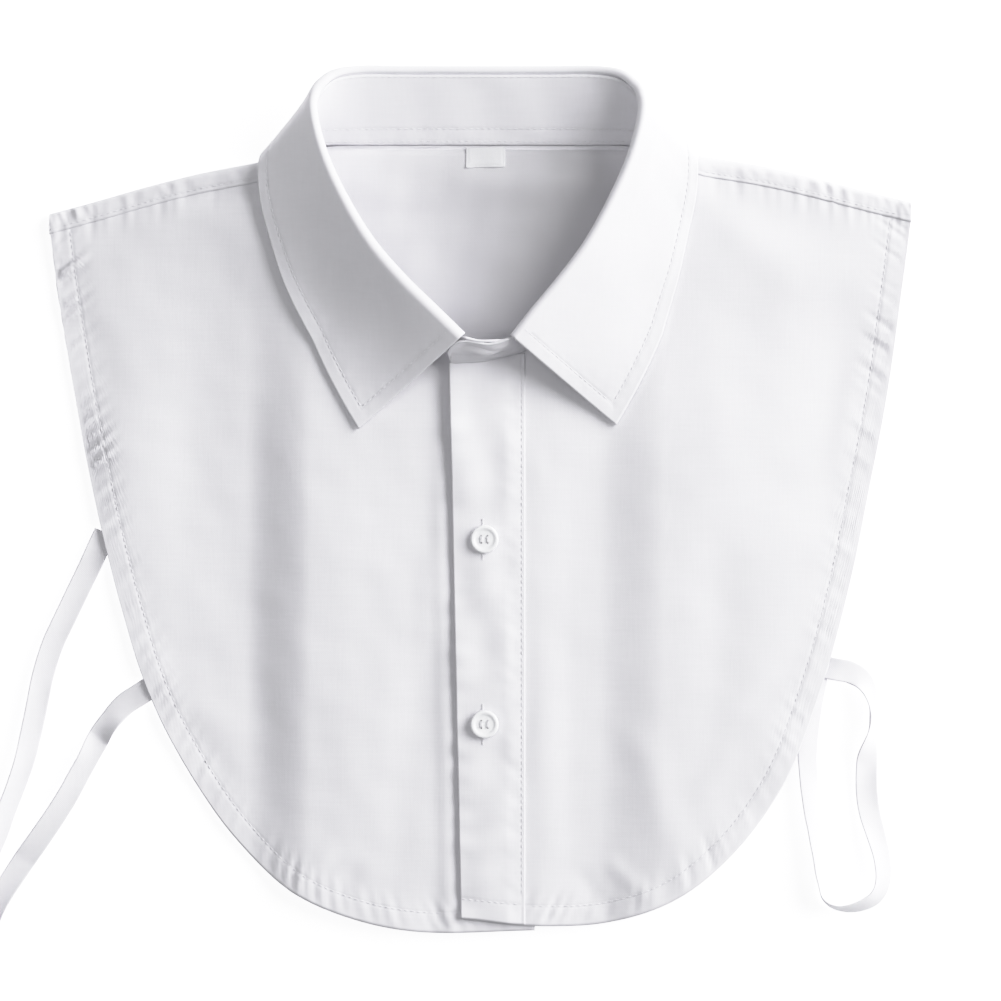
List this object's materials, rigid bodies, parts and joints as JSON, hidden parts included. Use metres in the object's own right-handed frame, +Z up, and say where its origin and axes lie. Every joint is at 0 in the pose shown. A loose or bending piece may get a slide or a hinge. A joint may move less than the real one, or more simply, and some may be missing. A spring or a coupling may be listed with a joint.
{
  "type": "detachable shirt collar",
  "caption": "Buttoned false shirt front and back with a stand-and-leaf collar and a tape loop at each side, lying flat; gives the look of a shirt under a jumper.",
  "frame": {"origin": "centre of the footprint of the garment without its side tapes, at the table it lies on", "axes": "+Z up from the table, +Y towards the back of the neck, +X towards the overlapping front"},
  "size_m": [0.4029, 0.3713, 0.0305],
  "materials": {
    "shirt_cotton": "plain-weave cotton poplin, matt, softly creased",
    "collar_cotton": "plain-weave cotton poplin pressed over interlining, smooth and crisp",
    "label_tape": "plain woven tape, bare",
    "button_pearl": "pale pearly resin, satin gloss",
    "strap_tape": "folded and edge-stitched cotton tape, matt"
  },
  "bodies": {
    "root": {"back_panel": "shirt_cotton", "front_right": "shirt_cotton", "front_left": "shirt_cotton", "placket": "shirt_cotton", "collar_stand": "collar_cotton", "collar_leaf": "collar_cotton", "label": "label_tape", "button_upper": "button_pearl", "button_lower": "button_pearl", "strap_left": "strap_tape", "strap_right": "strap_tape"}
  },
  "joints": []
}
